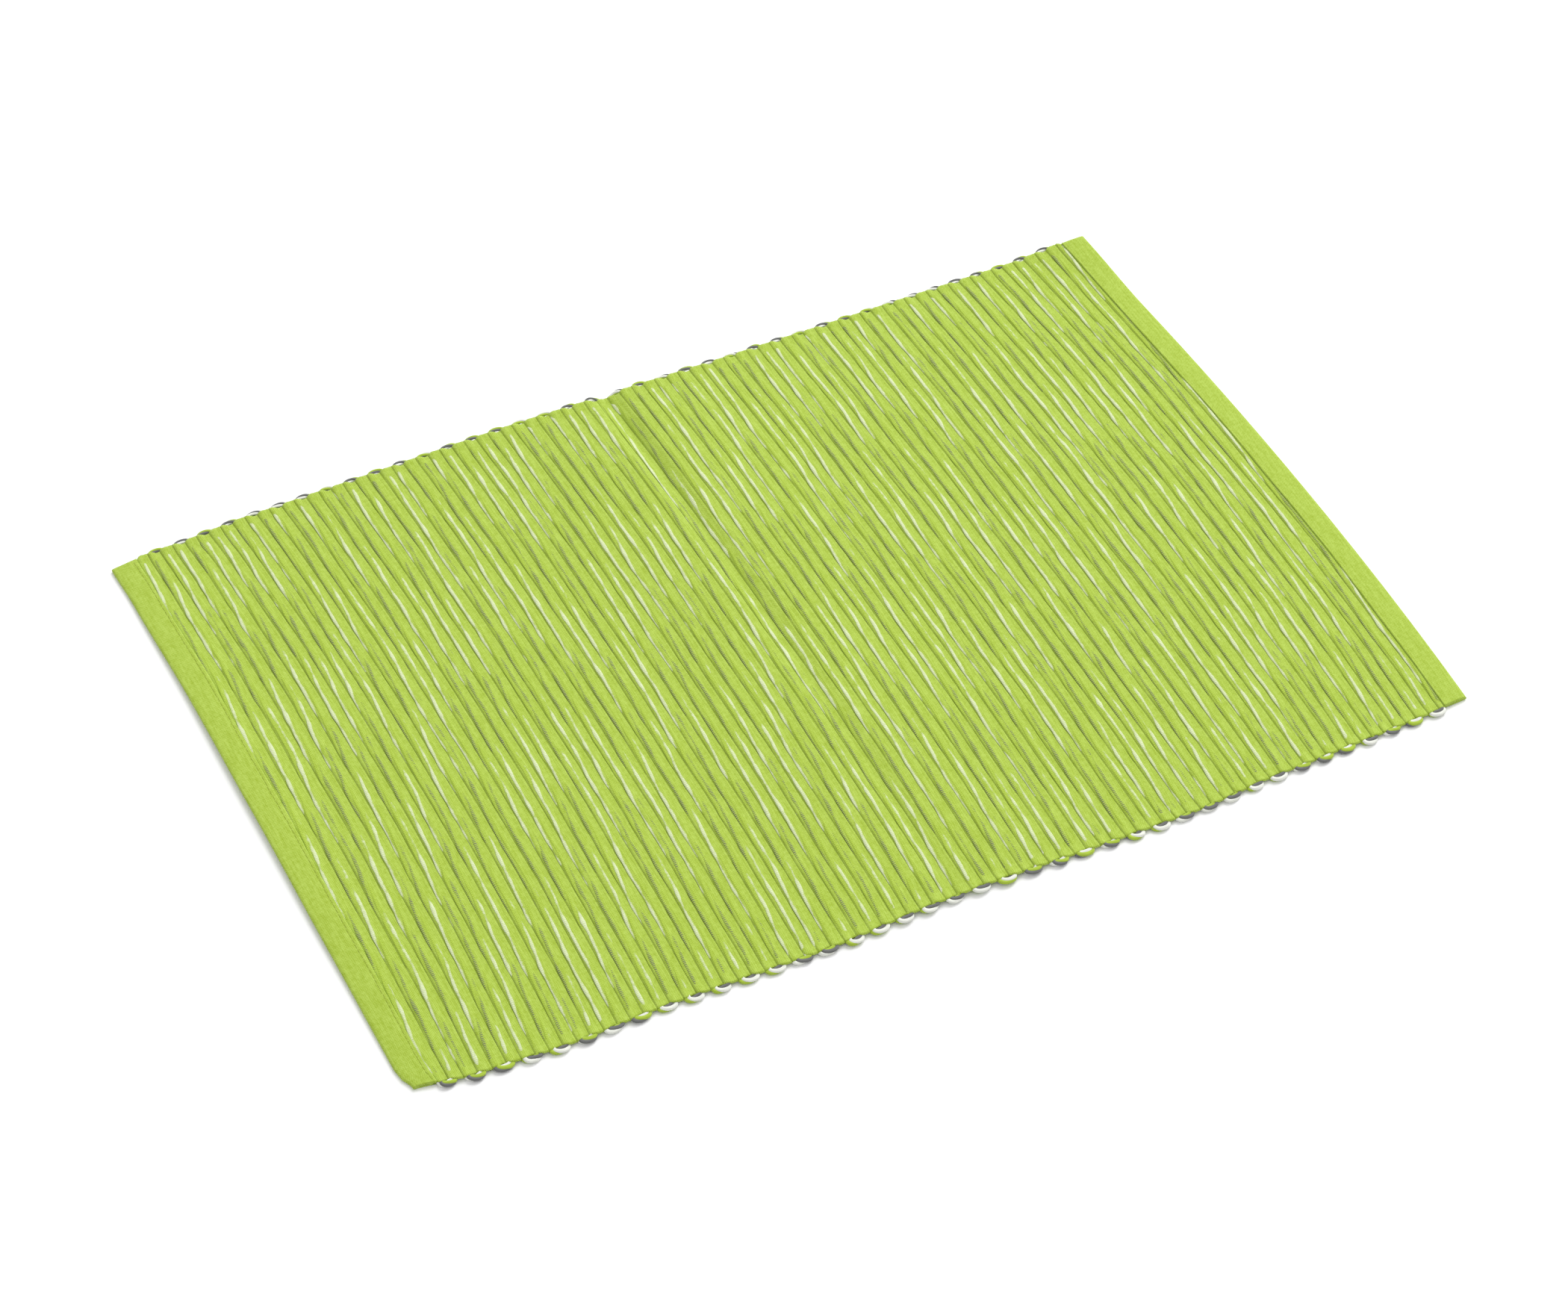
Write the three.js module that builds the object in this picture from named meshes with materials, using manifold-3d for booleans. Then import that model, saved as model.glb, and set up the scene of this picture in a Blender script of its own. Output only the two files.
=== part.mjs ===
// Ribbed cotton placemat: one woven cloth with 80 fat weft ribs across its depth, a turned and sewn hem at
// each short end, and the fat weft looping from rib to rib along both long edges.
// Millimetres, +Z up. The origin lies on the table under the middle of the mat, +X along its length to the
// right, +Y to the back.
import * as THREE from 'three';
import { mergeVertices } from 'three/addons/utils/BufferGeometryUtils.js';
import Module from 'manifold-3d';

// Driving dimensions of the cloth before it is laid down
const LENGTH = 460; // from hem fold to hem fold
const CLOTH_WIDTH = 322; // between the selvedges, without the loops
const PICKS = 80; // fat weft picks, each one rib
const HEM_WIDTH = 9.5; // turned part of each short end
const HEM_TO_PICK = 2.3; // from a hem's inner edge to the nearest rib's middle

// Heights of the two faces, measured up from the table
const RIB = { crown: 1.6, base: 3.0, top: 2.7, under: 0 };
const BAND = { top: 1.7, under: 0.5 };

// A hem's section, measured inwards from its fold to its inner edge
const HEM_ROWS = [
  { inward: 0, top: 1.95, under: 1.05 },
  { inward: 0.5, top: 2.7, under: 0.3 },
  { inward: 1.6, top: 3.0, under: 0 },
  { inward: 6.9, top: 3.0, under: 0 },
  { inward: 8.2, top: 2.6, under: 0 },
  { inward: HEM_WIDTH - 0.1, top: 2.7, under: 0.2 },
  { inward: HEM_WIDTH, top: BAND.top, under: BAND.under },
];
const HEM_SLIT = { from: 1.6, to: 6.9, middle: 1.5, gape: 0.6 };

// Weft loops along the long edges
const LOOP = { reach: 3.4, top: 2.5, under: 0.3, uneven: 0.16 };
const LOOP_FULL = 1.6; // a loop has its whole height where it reaches this far out

// Rows of points from the front to the back: three at each long edge for the loops, and the cloth between
const ACROSS_ROWS = [
  { side: -1, inset: 0, loop: 1, round: true },
  { side: -1, inset: 0.4, loop: 0.55 },
  { side: -1, inset: 1.0, loop: 0 },
  { side: -1, inset: 98, loop: 0 },
  { side: 1, inset: 78, loop: 0 },
  { side: 1, inset: 1.0, loop: 0 },
  { side: 1, inset: 0.4, loop: 0.55 },
  { side: 1, inset: 0, loop: 1, round: true },
];
const EDGE_ROUND = 0.45; // share of the cloth's thickness left at the very edge

// How the cloth lies
const SKEW = 4; // the back edge sits this much further right than the front edge
const END_ZONE = 120; // length at each end over which the ends' own curves fade out
const RIGHT_BULGE = { middle: 2.6, corners: -5.5, lean: 0.9 };
const LEFT_WAVE = { height: 0.8, turns: 2.2, start: 0.6 };
const CREASE = { x: -5.5, reach: 15, depth: 0.94 };

// How far the two long edges stand out from straight lines, at places along the cloth
const EDGE_ROWS = [
  { x: -230, front: -5.6, back: -5.0 },
  { x: -216, front: -2.4, back: -3.8 },
  { x: -165, front: 0.5, back: -0.9 },
  { x: -60, front: -0.4, back: 1.0 },
  { x: -8, front: -1.1, back: 0.2 },
  { x: 98, front: 2.2, back: 0.8 },
  { x: 150, front: 1.0, back: 0.7 },
  { x: 216, front: -2.9, back: 0.6 },
  { x: 230, front: -3.8, back: 0.6 },
];

// Places where the cloth stands off the table: each is a soft rise around its middle
const RISES = [
  { name: 'back middle', x: -25, y: 172, reachX: 135, reachY: 190, height: 4.2 },
  { name: 'along the crease', x: -5.5, y: 0, reachX: 62, reachY: 420, height: 0.8 },
  { name: 'left end', x: -236, y: 40, reachX: 34, reachY: 165, height: 2.6 },
  { name: 'back right corner', x: 236, y: 174, reachX: 46, reachY: 62, height: 3.6 },
];

const HALF_LENGTH = LENGTH / 2;
const HALF_WIDTH = CLOTH_WIDTH / 2;
const HEM_INNER = HALF_LENGTH - HEM_WIDTH;
const FIRST_PICK = HEM_INNER - HEM_TO_PICK;
const PITCH = (2 * FIRST_PICK) / (PICKS - 1);
const SLIT_RUN = CLOTH_WIDTH + 8; // long enough to pass both ends of a hem
const SLIT_STEPS = 6;
const UNEVEN_TURN = 2.4; // radians from one pick to the next in the loops' unevenness

const wasm = await Module();
wasm.setup();

// Middle of a pick along the cloth, picks counted from 0 at the left
function pickX(pick) {
  return -FIRST_PICK + pick * PITCH;
}

// 1 in the middle of a rise, 0 at its reach and beyond, smooth between
function bell(share) {
  const inside = Math.max(0, 1 - share * share);
  return inside * inside;
}

// Height of the cloth's underside above the table
function riseAt(x, y) {
  const lift = RISES.reduce(
    (sum, rise) => sum + rise.height * bell((x - rise.x) / rise.reachX) * bell((y - rise.y) / rise.reachY),
    0,
  );
  const pressedDown = CREASE.depth * bell((x - CREASE.x) / CREASE.reach);
  return lift * (1 - pressedDown);
}

// How far one long edge stands out at a place along the cloth, eased from row to row
function edgeOut(side, x) {
  const next = EDGE_ROWS.findIndex((row) => row.x >= x);
  if (next <= 0) {
    return next === 0 ? EDGE_ROWS[0][side] : EDGE_ROWS.at(-1)[side];
  }
  const from = EDGE_ROWS[next - 1];
  const to = EDGE_ROWS[next];
  const eased = THREE.MathUtils.smoothstep(x, from.x, to.x);
  return THREE.MathUtils.lerp(from[side], to[side], eased);
}

// Moves a point of the flat, square cloth to where it lies on the table
function layDown(point) {
  const { x, y, z } = point;
  const across = y / HALF_WIDTH;
  const outward = edgeOut(across > 0 ? 'back' : 'front', x) * across * Math.abs(across);
  const rightShare = THREE.MathUtils.smoothstep(x, HALF_LENGTH - END_ZONE, HALF_LENGTH);
  const leftShare = THREE.MathUtils.smoothstep(-x, HALF_LENGTH - END_ZONE, HALF_LENGTH);
  const bulge = RIGHT_BULGE.middle + RIGHT_BULGE.corners * across * across + RIGHT_BULGE.lean * across;
  const wave = LEFT_WAVE.height * Math.sin(LEFT_WAVE.turns * across + LEFT_WAVE.start);
  const along = (SKEW / 2) * across + rightShare * bulge + leftShare * wave;
  return point.set(x + along, y + outward, z + riseAt(x, y));
}

// Places along the cloth with the heights of its two faces there, from the left hem's fold to the right one's
function clothStations() {
  const leftHem = HEM_ROWS.map(({ inward, ...faces }) => ({ x: inward - HALF_LENGTH, hem: true, ...faces }));
  const rightHem = HEM_ROWS.map(({ inward, ...faces }) => ({ x: HALF_LENGTH - inward, hem: true, ...faces }));
  const ribs = Array.from({ length: PICKS }, (_, pick) => [
    { x: pickX(pick) - RIB.base / 2, ...BAND },
    { x: pickX(pick) - RIB.crown / 2, top: RIB.top, under: RIB.under },
    { x: pickX(pick) + RIB.crown / 2, top: RIB.top, under: RIB.under },
    { x: pickX(pick) + RIB.base / 2, ...BAND },
  ]);
  return [...leftHem, ...ribs.flat(), ...rightHem.reverse()];
}

// How far the weft loop at a place along one long edge reaches out: front loops join the first pick to the
// second, the third to the fourth and so on, and back loops join the pairs between
function loopOut(x, side) {
  const firstPick = side < 0 ? 0 : 1;
  const pair = Math.floor((x - pickX(firstPick) + PITCH / 2) / (2 * PITCH));
  const pick = firstPick + 2 * pair;
  if (pick < 0 || pick + 1 >= PICKS) {
    return 0;
  }
  const middle = pickX(pick) + PITCH / 2;
  const share = (x - middle) / ((PITCH + RIB.base) / 2);
  const uneven = 1 + LOOP.uneven * Math.sin(UNEVEN_TURN * pick);
  return LOOP.reach * uneven * Math.sqrt(Math.max(0, 1 - share * share));
}

// A point of the flat, square cloth on its upper or lower face
function clothPoint(station, row, upper) {
  const out = station.hem ? 0 : loopOut(station.x, row.side);
  const inLoop = row.loop > 0 ? Math.min(1, out / LOOP_FULL) : 0;
  const top = THREE.MathUtils.lerp(station.top, LOOP.top, inLoop);
  const under = THREE.MathUtils.lerp(station.under, LOOP.under, inLoop);
  const middle = (top + under) / 2;
  const thickness = (top - under) * (row.round && !station.hem ? EDGE_ROUND : 1);
  const y = row.side * (HALF_WIDTH - row.inset + out * row.loop);
  return new THREE.Vector3(station.x, y, middle + (upper ? thickness : -thickness) / 2);
}

// The cloth without its hem slits, flat and square: a box whose points are raised into ribs, hems and loops
function clothGeometry() {
  const stations = clothStations();
  const alongSteps = stations.length - 1;
  const acrossSteps = ACROSS_ROWS.length - 1;
  const cloth = new THREE.BoxGeometry(alongSteps, acrossSteps, 1, alongSteps, acrossSteps, 1);
  const points = cloth.getAttribute('position');
  for (let i = 0; i < points.count; i += 1) {
    const station = stations[Math.round(points.getX(i) + alongSteps / 2)];
    const row = ACROSS_ROWS[Math.round(points.getY(i) + acrossSteps / 2)];
    const { x, y, z } = clothPoint(station, row, points.getZ(i) > 0);
    points.setXYZ(i, x, y, z);
  }
  return cloth;
}

// The thin slit between the two layers of a hem, closed at the seam and at the fold; side is 1 right, -1 left
function hemSlitGeometry(side) {
  const fold = HALF_LENGTH - HEM_SLIT.from;
  const seam = HALF_LENGTH - HEM_SLIT.to;
  const low = HEM_SLIT.middle - HEM_SLIT.gape / 2;
  const high = HEM_SLIT.middle + HEM_SLIT.gape / 2;
  const section = new THREE.Shape();
  section.moveTo(side * seam, HEM_SLIT.middle);
  section.lineTo(side * (seam + HEM_SLIT.gape), low);
  section.lineTo(side * (fold - HEM_SLIT.gape), low);
  section.lineTo(side * fold, HEM_SLIT.middle);
  section.lineTo(side * (fold - HEM_SLIT.gape), high);
  section.lineTo(side * (seam + HEM_SLIT.gape), high);
  const run = { depth: SLIT_RUN, steps: SLIT_STEPS, bevelEnabled: false };
  const slit = new THREE.ExtrudeGeometry(section, run);
  slit.rotateX(Math.PI / 2);
  slit.translate(0, SLIT_RUN / 2, 0);
  return slit;
}

// A closed solid of a geometry, laid down on the table
function laidSolid(geometry) {
  geometry.deleteAttribute('normal');
  geometry.deleteAttribute('uv');
  const merged = mergeVertices(geometry, 1e-4);
  const points = merged.getAttribute('position');
  const point = new THREE.Vector3();
  for (let i = 0; i < points.count; i += 1) {
    layDown(point.fromBufferAttribute(points, i));
    points.setXYZ(i, point.x, point.y, point.z);
  }
  const mesh = new wasm.Mesh({
    numProp: 3,
    vertProperties: new Float32Array(points.array),
    triVerts: new Uint32Array(merged.index.array),
  });
  return new wasm.Manifold(mesh);
}

// A three.js geometry of a finished solid, its box centred over the origin
function centredGeometry(solid) {
  const mesh = solid.getMesh();
  const geometry = new THREE.BufferGeometry();
  geometry.setAttribute('position', new THREE.BufferAttribute(mesh.vertProperties, 3));
  geometry.setIndex(new THREE.BufferAttribute(mesh.triVerts, 1));
  geometry.computeBoundingBox();
  const middle = geometry.boundingBox.getCenter(new THREE.Vector3());
  geometry.translate(-middle.x, -middle.y, 0);
  geometry.computeVertexNormals();
  return geometry;
}

// The whole mat: the raised cloth with the slits between its hems' layers
function placematSolid() {
  const cloth = laidSolid(clothGeometry());
  return cloth.subtract(laidSolid(hemSlitGeometry(1))).subtract(laidSolid(hemSlitGeometry(-1)));
}

const limeCotton = new THREE.MeshStandardMaterial({ color: 0xb5d053, roughness: 0.9, metalness: 0 });
const cloth = new THREE.Mesh(centredGeometry(placematSolid()), limeCotton);
cloth.name = 'placemat_cloth';

const placemat = new THREE.Group();
placemat.add(cloth);

export default placemat;
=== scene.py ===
"""A ribbed cotton placemat: lime cloth with fat three-yarn weft, edge loops and turned hems."""
import math
from types import SimpleNamespace

import bmesh
import bpy
import numpy as np
from bpy.props import FloatProperty, FloatVectorProperty, IntProperty, PointerProperty
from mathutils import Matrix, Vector


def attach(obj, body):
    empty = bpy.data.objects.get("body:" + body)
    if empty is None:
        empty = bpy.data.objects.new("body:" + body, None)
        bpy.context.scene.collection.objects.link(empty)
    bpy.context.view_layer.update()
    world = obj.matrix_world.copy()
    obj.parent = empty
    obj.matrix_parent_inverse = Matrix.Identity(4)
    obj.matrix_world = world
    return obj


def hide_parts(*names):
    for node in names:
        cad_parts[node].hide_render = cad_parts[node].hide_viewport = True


bl_info = {
    "name": "Ribbed cotton placemat",
    "version": (1, 0, 0),
    "blender": (4, 5, 0),
    "location": "3D View > Sidebar > Placemat",
    "description": "Makes a ribbed cotton placemat with weft loops and turned hems, on a pale stage",
    "category": "Add Mesh",
}

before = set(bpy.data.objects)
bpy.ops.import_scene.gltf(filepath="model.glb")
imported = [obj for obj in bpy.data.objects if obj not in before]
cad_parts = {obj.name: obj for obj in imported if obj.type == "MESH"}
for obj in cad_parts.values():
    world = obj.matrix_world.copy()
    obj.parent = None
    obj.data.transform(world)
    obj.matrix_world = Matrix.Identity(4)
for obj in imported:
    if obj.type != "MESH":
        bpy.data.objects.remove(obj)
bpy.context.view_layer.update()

MM = 0.001
PLACEMAT_NODE = "placemat_cloth"
FULL_TURN = 2 * math.pi
# Points of a rolled grid that lie closer than this are one point.
MERGE_DISTANCE = 0.0005 * MM

# Where the laid cloth lies, in millimetres: this point is the stiff solid's middle and the frame's origin.
BOX_MIDDLE = (-0.0832, -0.5878)
# The cloth was woven a little askew, its picks bow to the right in the middle, more so at the left end and
# not at the hems, and its right end bows out.
SKEW = 4.0
PICK_BOW = 3.4
BOW_LEAN = -1.4
BOW_FADES = 45.0
END_ZONE = 120.0
RIGHT_BULGE = {"middle": 2.6, "corners": -5.5, "lean": 0.9}
# The front left corner is tucked in by its fold.
TUCK = {"x": -230.0, "y": -161.0, "along": 15.0, "across": 9.5, "in": 2.9}
# How far the front and back edges stand out from straight, at places along the length.
EDGE_PLACES = (-230, -216, -204, -165, -130, -60, -8, 98, 140, 180, 216, 230)
FRONT_EDGE = (-6.6, -4.9, -2.9, -0.6, -1.5, 0.4, -1.4, 0.9, -1.6, -2.4, -3.4, -4.0)
BACK_EDGE = (-5.0, -3.8, -3.4, -0.9, -0.4, 0.1, -1.2, 0.4, 0.6, 0.6, 0.6, 0.6)
# How far the left end stands in from straight, at places across the width, from -1 in front to 1 at the back.
LEFT_PLACES = (-1.0, -0.5, 0.0, 0.45, 0.85, 1.0)
LEFT_EDGE = (0.1, 0.6, 1.3, 1.8, 1.0, 0.2)
# Places where the cloth lifts off the table: x, y, reach along, reach across, height.
RISES = (
    (-25, 172, 135, 190, 1.5),
    (-5.5, 30, 62, 330, 1.3),
    (-236, 10, 34, 175, 1.3),
    (236, 174, 46, 62, 3.6),
)
# The crease across the middle, left by folding the cloth in two.
CREASE = {"x": -5.5, "reach": 7.0, "depth": 0.94}

# The ground cloth's middle surface, in millimetres.
CLOTH_THICK = 0.7
BAND_MID = 0.75
# One rib: distance from the pick's centre, height over the bands, and how deep in shade the cloth lies there.
# The beat of the weaving leaves a thin groove on the left of each rib.
RIB_OFFSETS = (-2.5, -1.85, -1.5, -1.15, -0.7, 0.2, 1.1, 2.0)
RIB_HEIGHTS = (0.0, 0.0, -0.2, 0.14, 0.3, 0.37, 0.26, 0.0)
RIB_SHADE = (0.0, 0.1, 1.0, 0.4, 0.05, 0.0, 0.0, 0.0)
# At each long edge the cloth runs out over the loops in tongues and draws back between them: how far out and
# back, how high, half a tongue's width in picks, how square it is, and how far in it starts.
TONGUE = {"out": 0.7, "back": 0.3, "lift": 0.6, "half": 0.95, "square": 1.6, "starts": 5.0}
# Past the first pick, towards the hem, the tongues and the cloth's wander fade out: from where, to where.
TONGUE_FADES = (-0.5, 1.1)
WANDER_FADES = (0.9, 2.2)
# The hem's fold: distance inward from its outer edge, height of the cloth's middle. The seam runs along the
# dent in its upper layer.
HEM_UPPER = ((10.6, 1.54), (10.0, 1.52), (9.3, 1.4), (8.5, 1.45), (7.0, 1.42), (4.6, 1.33), (2.2, 1.22),
             (1.2, 1.14), (0.55, 1.04), (0.2, 0.92))
HEM_LOWER = ((0.0, 0.72), (0.2, 0.53), (0.55, 0.42), (1.2, 0.38), (2.2, 0.36), (5.4, 0.4), (7.4, 0.55),
             (8.6, 0.68), (9.4, 0.75))
HEM_SEAM = HEM_UPPER[2]
# Rows of points across the cloth: these distances from its long edges, and evenly spaced rows between.
EDGE_STEPS = (0.0, 0.9, 2.2, 4.0, 6.5)
CLOTH_ROWS = 50

# The fat weft: three loose yarns lying together, flattened in the ribs and round in the loops. Back loops
# reach out less than front ones.
RIB_BUNDLE = {"mid": 1.08, "spread": 0.92, "stack": 0.27, "half_wide": 0.68, "half_tall": 0.31}
FRONT_LOOP = {"mid": 0.98, "spread": 0.8, "stack": 0.28, "half_wide": 0.98, "half_tall": 0.58}
BACK_LOOP = {"mid": 0.9, "spread": 0.6, "stack": 0.3, "half_wide": 0.68, "half_tall": 0.48}
BACK_REACH = 0.8
# Their places round the bundle, in degrees: the lime yarn lies close under the white one.
YARNS = {"white": 0.0, "grey": 160.0, "lime": 260.0}
# How fat each yarn is, against the bundle's measures, in the ribs and in the loops.
YARN_PUFF = {"white": 1.08, "grey": 0.9, "lime": 0.72}
LOOP_PUFF = {"white": 1.0, "grey": 0.94, "lime": 1.06}
# The section of a yarn, in degrees round it from its underside: more cuts on top, where it shows.
YARN_ROUND = (-90, -15, 25, 58, 90, 122, 155, 195, 270)
YARN_GIRTH = 4.0
# Points along a yarn, in one pick and in one loop.
PICK_STEPS = 131
LOOP_STEPS = 11
# The yarns stray and swell a little along a rib: wave lengths, sideways reach, share of thickness.
STRAY_WAVES = (11.0, 18.0, 33.0)
STRAY_ASIDE = 0.04
STRAY_FAT = 0.12
# A loop starts a little inside the cloth's edge, and the yarns open out on the way there. Its outline is
# fuller than half an ellipse: LOOP_FLAT is the power of the sine that draws it. Loops differ in reach.
LOOP_START = 0.2
LOOP_OPENS = 1.6
LOOP_FLAT = 0.75
LOOP_UNEVEN = 0.12
# Before a yarn comes out as a loop it dips under the cloth's edge: where, how far either way, how deep, how
# unevenly, and the share of the dip that is gone where the loop starts.
EDGE_DIP = {"inward": 1.9, "reach": 3.2, "depth": 0.3, "uneven": 0.14, "gone": 0.6}
# Here and there a yarn pops out in a small knot: how many on a yarn, how far they swell, how they differ.
KNOTS = 50
KNOT_SWELLS = 0.3
KNOT_SIZES = (0.4, 1.0)
# The yarns turn round each other once in this length, tighter and looser by a share along each pick. The
# minus sign is the sense of the twist, which sets the way the streaks slant across the ribs.
TURN_LENGTH = -104.0
TWIST_SWING = 0.7
# How the picks differ, from least to most: slow and quick waves of their line, twist of the yarns along
# them, and twist in a loop.
HABIT_RANGES = {
    "slow": (70, 120), "slow_start": (0, FULL_TURN), "slow_reach": (0.08, 0.26),
    "quick": (26, 42), "quick_start": (0, FULL_TURN), "quick_reach": (0.02, 0.08),
    "twist": (0.6, 1.4), "twist_wave": (30, 75), "twist_start": (0, FULL_TURN), "loop_twist": (1.6, 4.4),
}
WEAVING_SEED = 20
KNOT_SEED = 21
SEAM_SEED = 520

# The sewing thread: half its thickness, its sides, its sway from a straight seam, the bare cloth at a seam's
# two ends, and the width of its fibres.
THREAD = {"radius": 0.16, "sides": 5, "sway": 0.12, "bare": 3.0, "fibre": 0.4}
# One stitch: share of its length, height above the cloth's face.
STITCH_BOW = ((-0.48, -0.2), (-0.44, -0.08), (-0.2, 0.0), (0.2, 0.0), (0.44, -0.08), (0.48, -0.2))
# The two seams, by the end they are at: the right one is drawn tighter into the cloth than the left one.
SEAM_SUNK = {-1: 0.0, 1: 0.1}

# How far apart the warp ends lie that cross over each fat pick.
HATCH_PITCH = 0.92
# How much of a yarn the warp ends hide, and how strongly their lime shows on it.
HATCH_SHARE = {"white": 0.42, "grey": 0.52, "lime": 0.5}
HATCH_STRENGTH = {"white": 0.4, "grey": 0.9, "lime": 1.0}
# Down among the warp ends a yarn lies in lime light and in shade: how that changes its colour.
RIB_TINT = {"white": (0.88, 0.94, 0.69), "grey": (1.1, 1.14, 0.8), "lime": (1.0, 1.0, 1.0)}
# A yarn that stands less than this over the cloth, in millimetres, is hidden by the warp.
HIDDEN_BELOW = -0.04
CLEAR_ABOVE = 0.28
# Spun fibres are painted darker in the hollows between them, as painted shade, and lighter where they stand
# up, as painted light.
FIBRE_SHADE_AND_LIGHT = (0.82, 1.06)

# The stage, in metres: floor, light from the right and behind, and the camera as the photo shows the mat.
FLOOR_HALF = 4.0
WORLD_STRENGTH = 0.8
KEY = {"size": 3.0, "energy": 212, "place": (3.07, 2.3, 2.94)}
CAMERA = {"lens": 105.47, "sensor": 36, "place": (-0.6034, -1.1901, 1.2804), "down": 44.005, "turn": -26.898}


def linear(hex_colour):
    """Turns an sRGB hex colour into linear red, green and blue."""
    parts = [int(hex_colour[i:i + 2], 16) / 255 for i in (1, 3, 5)]
    return tuple(c / 12.92 if c <= 0.04045 else ((c + 0.055) / 1.055) ** 2.4 for c in parts)


class PlacematSizes(bpy.types.PropertyGroup):
    """The sizes of the placemat that a user would change."""
    length: FloatProperty(name="Length", description="Length from hem to hem",
                          default=460 * MM, unit="LENGTH")
    width: FloatProperty(name="Width", description="Width of the cloth, without its loops",
                         default=322 * MM, unit="LENGTH")
    hem_width: FloatProperty(name="Hem width", description="Width of the turned hem at each short end",
                             default=10.6 * MM, unit="LENGTH")
    hem_to_pick: FloatProperty(name="Hem to first pick",
                               description="Plain cloth between a hem and the first rib",
                               default=1.2 * MM, unit="LENGTH")
    picks: IntProperty(name="Picks", description="Number of ribs of fat weft", default=80, min=2)
    loop_reach: FloatProperty(name="Loop reach", description="How far a weft loop stands out of the cloth",
                              default=3.4 * MM, unit="LENGTH")
    stitch: FloatProperty(name="Stitch", description="Length of one stitch of the hems' seams",
                          default=2.9 * MM, unit="LENGTH")


class PlacematColours(bpy.types.PropertyGroup):
    """The colours of the placemat's yarns and threads."""
    lime: FloatVectorProperty(name="Lime", description="Colour of the lime cotton",
                              subtype="COLOR", default=linear("#A6BF42"), min=0, max=1)
    white: FloatVectorProperty(name="White", description="Colour of the white weft yarn",
                               subtype="COLOR", default=linear("#E2E4DA"), min=0, max=1)
    grey: FloatVectorProperty(name="Grey", description="Colour of the grey weft yarn",
                              subtype="COLOR", default=linear("#6E6F6D"), min=0, max=1)
    thread: FloatVectorProperty(name="Thread", description="Colour of the hems' sewing thread",
                                subtype="COLOR", default=linear("#9DB03C"), min=0, max=1)


def cloth_plan():
    """The user's sizes in millimetres, with the places that follow from them."""
    sizes = bpy.context.scene.placemat_sizes
    plan = SimpleNamespace(
        half_length=sizes.length / MM / 2, half_width=sizes.width / MM / 2,
        hem=sizes.hem_width / MM, picks=sizes.picks,
        loop_reach=sizes.loop_reach / MM, stitch=sizes.stitch / MM)
    plan.first_pick = plan.half_length - plan.hem - sizes.hem_to_pick / MM
    plan.pitch = 2 * plan.first_pick / (plan.picks - 1)
    plan.pick_x = -plan.first_pick + plan.pitch * np.arange(plan.picks)
    plan.hem_scale = plan.hem / HEM_UPPER[0][0]
    return plan


def bell(t):
    """1 in the middle, 0 at a distance of 1 and beyond, smooth between."""
    return np.clip(1 - t * t, 0, None) ** 2


def ease(value, low, high):
    """0 up to low, 1 from high on, smooth between."""
    t = np.clip((value - low) / (high - low), 0, 1)
    return t * t * (3 - 2 * t)


def edge_out(places, edge, x):
    """How far an edge stands out at x, eased from place to place."""
    places, edge = np.array(places, float), np.array(edge, float)
    spot = np.clip(np.searchsorted(places, x) - 1, 0, len(places) - 2)
    share = ease(x, places[spot], places[spot + 1])
    return edge[spot] + (edge[spot + 1] - edge[spot]) * share


def rise_at(x, y):
    """The height of the cloth's underside above the table."""
    rise = sum(height * bell((x - rx) / along) * bell((y - ry) / across)
               for rx, ry, along, across, height in RISES)
    return rise * (1 - CREASE["depth"] * bell((x - CREASE["x"]) / CREASE["reach"]))


def lay_down(plan, x, y, z):
    """Takes points of the flat cloth to where they lie on the table, in metres."""
    x, y, z = np.broadcast_arrays(np.asarray(x, float), y, z)
    across = y / plan.half_width
    out = np.where(across > 0, edge_out(EDGE_PLACES, BACK_EDGE, x), edge_out(EDGE_PLACES, FRONT_EDGE, x))
    start = plan.half_length - END_ZONE
    right, left = ease(x, start, plan.half_length), ease(-x, start, plan.half_length)
    bulge = RIGHT_BULGE["middle"] + RIGHT_BULGE["corners"] * across ** 2 + RIGHT_BULGE["lean"] * across
    wave = edge_out(LEFT_PLACES, LEFT_EDGE, across)
    bow = (PICK_BOW + BOW_LEAN * x / plan.half_length) * (1 - across ** 2)
    bow *= ease(-np.abs(x), -plan.half_length, BOW_FADES - plan.half_length)
    tuck = TUCK["in"] * bell((x - TUCK["x"]) / TUCK["along"]) * bell((y - TUCK["y"]) / TUCK["across"])
    laid = np.stack([x + SKEW / 2 * across + bow + tuck + right * bulge + left * wave - BOX_MIDDLE[0],
                     y + out * across * np.abs(across) - BOX_MIDDLE[1],
                     z + rise_at(x, y)], axis=-1)
    return laid * MM


def weft_habits(plan):
    """How each pick wanders and how the three yarns turn round each other along it."""
    rng = np.random.default_rng(WEAVING_SEED)
    ways = {name: rng.uniform(low, high, plan.picks) for name, (low, high) in HABIT_RANGES.items()}
    return SimpleNamespace(
        **ways, first_turn=rng.uniform(0, FULL_TURN), uneven=rng.uniform(-1, 1, (plan.picks, 3)),
        stray=rng.uniform(0, FULL_TURN, (2, len(YARNS), len(STRAY_WAVES), plan.picks)))


def pick_wander(habits, pick, y):
    """How far a pick lies from its even place, at y."""
    slow = habits.slow_reach[pick] * np.sin(FULL_TURN * y / habits.slow[pick] + habits.slow_start[pick])
    quick = habits.quick_reach[pick] * np.sin(FULL_TURN * y / habits.quick[pick] + habits.quick_start[pick])
    return slow + quick


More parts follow.
